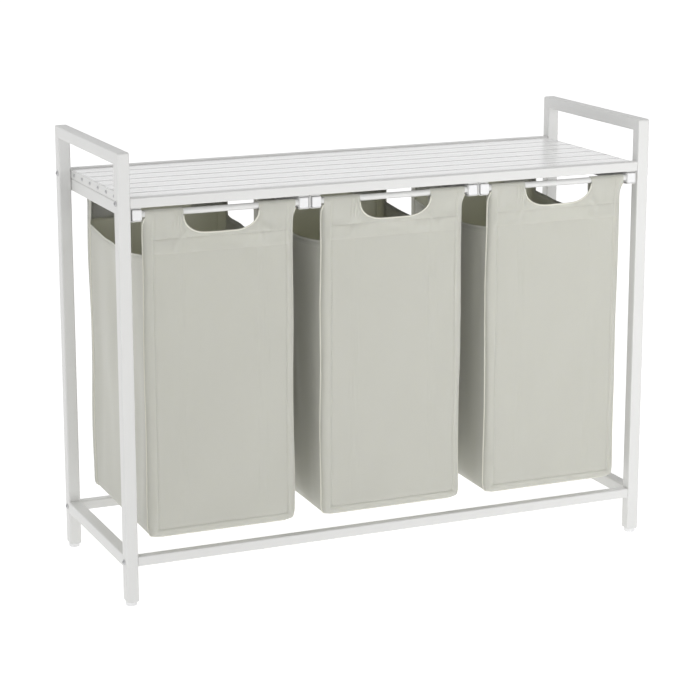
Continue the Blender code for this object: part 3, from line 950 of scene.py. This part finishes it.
def add_stitches(pattern, bag, body):
    graph = bpy.context.evaluated_depsgraph_get()
    stitches = Stitches(BVHTree.FromObject(bag, graph))
    half = pattern.panel_x - SEAM_INSET
    for _, sign in FRONT_BACK:
        y = sign * pattern.tube_y
        facing = (0.0, sign, 0.0)
        for z in (LOWER_STITCH_Z, UPPER_STITCH_Z):
            stitches.line([(pattern.centre_x - half, y, z), (pattern.centre_x + half, y, z)], facing)
        stitches.line(hole_stitch_path(pattern, y), facing)
        stitches.line(seam_stitch_path(pattern, y), facing)
    for _, sign in LEFT_RIGHT:
        x = pattern.centre_x + sign * (BAG_HALF_WIDTH - CLOTH)
        stitches.line(side_stitch_path(pattern, x), (sign, 0.0, 0.0))
    mesh = mesh_from(f"bag_stitches_{pattern.name}", stitches.points, stitches.faces)
    turn_outwards(mesh)
    new_object(mesh.name, mesh, thread, body)


def add_bag(name, seed):
    body = f"{name}_bag"
    pattern = Pattern(name, seed)
    mesh = pattern.mesh()
    bag = bpy.data.objects.new(mesh.name, mesh)
    bpy.context.scene.collection.objects.link(bag)
    mesh.materials.append(materials["bag_fabric"])
    final = settle(bag, pattern)
    smooth = bag.modifiers.new("Smooth", "SUBSURF")
    smooth.levels = 1
    smooth.render_levels = 1
    cloth = bag.modifiers.new("Cloth", "SOLIDIFY")
    cloth.thickness = CLOTH
    cloth.offset = 0.0
    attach(bag, body)
    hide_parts(f"bag_{name}")
    bpy.context.view_layer.update()
    add_piping(pattern, final, body)
    add_hole_binding(pattern, final, body)
    add_side_hems(pattern, final, body)
    add_stitches(pattern, bag, body)


# Shelf screws

SCREW_TOP = 0.0016
SCREW_PROFILE = (          # radius and height, from the underside's middle to the top's
    (0.0, 0.0), (0.0029, 0.0), (0.0030, 0.0004), (0.0027, 0.0011), (0.0019, 0.0015), (0.0, SCREW_TOP),
)
SCREW_STEPS = 32
SCREW_WELD = 0.000005
SCREW_CREASE = 35          # degrees, above which an edge is sharp
CROSS_LENGTH = 0.0032
CROSS_WIDTH = 0.0006
CROSS_HEIGHT = 0.0018      # of the cutter, half of it above the screw's top
SCREW_TURN = 23            # degrees, from each screw to the next


def screw_mesh():
    """Pan head with a cross recess, facing +Z, its underside at z = 0."""
    shape = bmesh.new()
    made = [shape.verts.new((radius, 0.0, height)) for radius, height in SCREW_PROFILE]
    edges = [shape.edges.new(pair) for pair in zip(made, made[1:])]
    spin = {"cent": (0, 0, 0), "axis": (0, 0, 1), "angle": 2 * math.pi, "steps": SCREW_STEPS}
    bmesh.ops.spin(shape, geom=made + edges, use_merge=True, **spin)
    bmesh.ops.remove_doubles(shape, verts=shape.verts, dist=SCREW_WELD)
    bmesh.ops.recalc_face_normals(shape, faces=shape.faces)
    head = bpy.data.meshes.new("screw_head")
    shape.to_mesh(head)
    shape.free()
    arms = bmesh.new()
    to_top = Matrix.Translation((0, 0, SCREW_TOP))
    for length_x, length_y in ((CROSS_LENGTH, CROSS_WIDTH), (CROSS_WIDTH, CROSS_LENGTH)):
        size = Matrix.Diagonal((length_x, length_y, CROSS_HEIGHT, 1.0))
        bmesh.ops.create_cube(arms, matrix=to_top @ size)
    recess = bpy.data.meshes.new("screw_recess")
    arms.to_mesh(recess)
    arms.free()
    blank = bpy.data.objects.new("screw_blank", head)
    cutter = bpy.data.objects.new("screw_cutter", recess)
    for item in (blank, cutter):
        bpy.context.scene.collection.objects.link(item)
    cut = blank.modifiers.new("Recess", "BOOLEAN")
    cut.operation = "DIFFERENCE"
    cut.object = cutter
    cut.use_self = True
    bpy.context.view_layer.update()
    graph = bpy.context.evaluated_depsgraph_get()
    mesh = bpy.data.meshes.new_from_object(blank.evaluated_get(graph))
    for item in (blank, cutter):
        bpy.data.objects.remove(item)
    mesh.shade_smooth()
    mesh.set_sharp_from_angle(angle=math.radians(SCREW_CREASE))
    return mesh


def add_slat_screws():
    """A screw through each end plate into the end of each slat, each turned differently."""
    head = screw_mesh()
    slats = sorted(name for name in frame["nodes"] if name.startswith("shelf_slat_"))
    for side, sign in LEFT_RIGHT:
        low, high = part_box(f"shelf_end_plate_{side}")
        x = high.x if sign > 0 else low.x
        outwards = Matrix.Rotation(math.radians(90 * sign), 4, "Y")
        for number, slat in enumerate(slats, 1):
            slat_low, slat_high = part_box(slat)
            middle = (slat_low + slat_high) / 2
            spin = Matrix.Rotation(math.radians(SCREW_TURN * number), 4, "Z")
            screw = head.copy()
            screw.transform(Matrix.Translation((x, middle.y, middle.z)) @ outwards @ spin)
            new_object(f"slat_screw_{side}_{number}", screw, materials["zinc"], "frame")


# Studio

DARK_SIDE = (0.8, -0.6, 0.0)   # towards the dark wall, at the front right
DARK_EDGES = (0.05, 0.5)       # a direction's share towards the wall, where it starts and is full
DARK_WALL = 0.12               # its light, beside the 1 of the rest
DIM_SIDE = (-0.95, 0.3, 0.0)   # towards the dim wall, at the left
DIM_EDGES = (0.5, 0.9)
DIM_WALL = 0.5
FLOOR_RADIUS = 60.0
FLOOR_GLOW = 0.76
LAMP_SIZE = 0.8
FRONT_LAMP = {"place": (-0.3, -3.3, 0.9), "target": (0.05, 0.0, 0.35), "watts": 12.0}
RIGHT_LAMP = {"place": (0.9, -2.7, 0.9), "target": (0.50, -0.16, 0.38), "watts": 2.9}
RIGHT_LAMP_SPREAD = 70         # degrees

SENSOR_WIDTH = 36.0
LENS = 113.35
CAMERA_SHIFT_Y = -0.05
CAMERA_PLACE = (-1.455, -3.298, 1.226)
CAMERA_YAW = 23.68             # degrees, clockwise from +Y
CAMERA_PITCH = -13.0


def add_lamp(name, place, target, watts):
    """A soft round lamp at a place, which faces a target."""
    light = bpy.data.lights.new(name, "AREA")
    light.energy = watts
    light.shape = "DISK"
    light.size = LAMP_SIZE
    lamp = bpy.data.objects.new(name, light)
    bpy.context.scene.collection.objects.link(lamp)
    lamp.location = place
    lamp.rotation_euler = (Vector(target) - Vector(place)).to_track_quat("-Z", "Y").to_euler()
    return light


def wall_light(tree, towards, edges, level):
    """The share of light left in each direction by a darker wall: 1, falling to level at the wall."""
    direction = tree.nodes.new("ShaderNodeTexCoord").outputs["Generated"]
    facing = tree.nodes.new("ShaderNodeVectorMath")
    facing.operation = "DOT_PRODUCT"
    facing.inputs[1].default_value = towards
    tree.links.new(direction, facing.inputs[0])
    fade = tree.nodes.new("ShaderNodeMapRange")
    fade.interpolation_type = "SMOOTHSTEP"
    fade.inputs["From Min"].default_value = edges[0]
    fade.inputs["From Max"].default_value = edges[1]
    fade.inputs["To Min"].default_value = 1.0
    fade.inputs["To Max"].default_value = level
    tree.links.new(facing.outputs["Value"], fade.inputs["Value"])
    return fade.outputs["Result"]


def add_surround():
    """White surroundings, with a dark wall at the front right and a dim one at the left."""
    world = bpy.data.worlds.new("studio")
    world.use_nodes = True
    tree = world.node_tree
    both = tree.nodes.new("ShaderNodeMath")
    both.operation = "MULTIPLY"
    tree.links.new(wall_light(tree, DARK_SIDE, DARK_EDGES, DARK_WALL), both.inputs[0])
    tree.links.new(wall_light(tree, DIM_SIDE, DIM_EDGES, DIM_WALL), both.inputs[1])
    background = tree.nodes["Background"]
    background.inputs["Color"].default_value = (1.0, 1.0, 1.0, 1.0)
    tree.links.new(both.outputs[0], background.inputs["Strength"])
    bpy.context.scene.world = world


def add_floor():
    """A white floor lit faintly from below, as a light table is, so that shadows on it stay pale."""
    shape = bmesh.new()
    bmesh.ops.create_circle(shape, cap_ends=True, segments=96, radius=FLOOR_RADIUS)
    mesh = bpy.data.meshes.new("floor")
    shape.to_mesh(mesh)
    shape.free()
    recipe = Recipe("light_table", (0.55, 0.55, 0.55), 0.8)
    recipe.tint(recipe.noise(1.5), (0.545, 0.545, 0.545), (0.555, 0.555, 0.555))
    recipe.shader.inputs["Emission Color"].default_value = (1.0, 1.0, 1.0, 1.0)
    recipe.shader.inputs["Emission Strength"].default_value = FLOOR_GLOW
    recipe.shader.inputs["Specular IOR Level"].default_value = 0.0
    mesh.materials.append(recipe.material)
    floor = bpy.data.objects.new("floor", mesh)
    bpy.context.scene.collection.objects.link(floor)


def add_studio():
    """Pale surroundings, a pale floor and two soft lamps, both in front of the object."""
    bpy.context.scene.view_settings.view_transform = "Standard"
    add_surround()
    add_floor()
    add_lamp("front_softbox", **FRONT_LAMP)
    right_light = add_lamp("right_softbox", **RIGHT_LAMP)
    right_light.spread = math.radians(RIGHT_LAMP_SPREAD)


def add_camera():
    data = bpy.data.cameras.new("camera")
    data.sensor_width = SENSOR_WIDTH
    data.lens = LENS
    data.shift_y = CAMERA_SHIFT_Y
    camera = bpy.data.objects.new("camera", data)
    bpy.context.scene.collection.objects.link(camera)
    camera.location = CAMERA_PLACE
    yaw = math.radians(CAMERA_YAW)
    pitch = math.radians(CAMERA_PITCH)
    level = math.cos(pitch)
    forward = Vector((math.sin(yaw) * level, math.cos(yaw) * level, math.sin(pitch)))
    camera.rotation_mode = "QUATERNION"
    camera.rotation_quaternion = forward.to_track_quat("-Z", "Y")
    bpy.context.scene.camera = camera


finish_cad_nodes()
add_camera()
add_studio()
for seed, bag_name in enumerate(BAG_NAMES, FIRST_SEED):
    add_bag(bag_name, seed)
add_slat_screws()
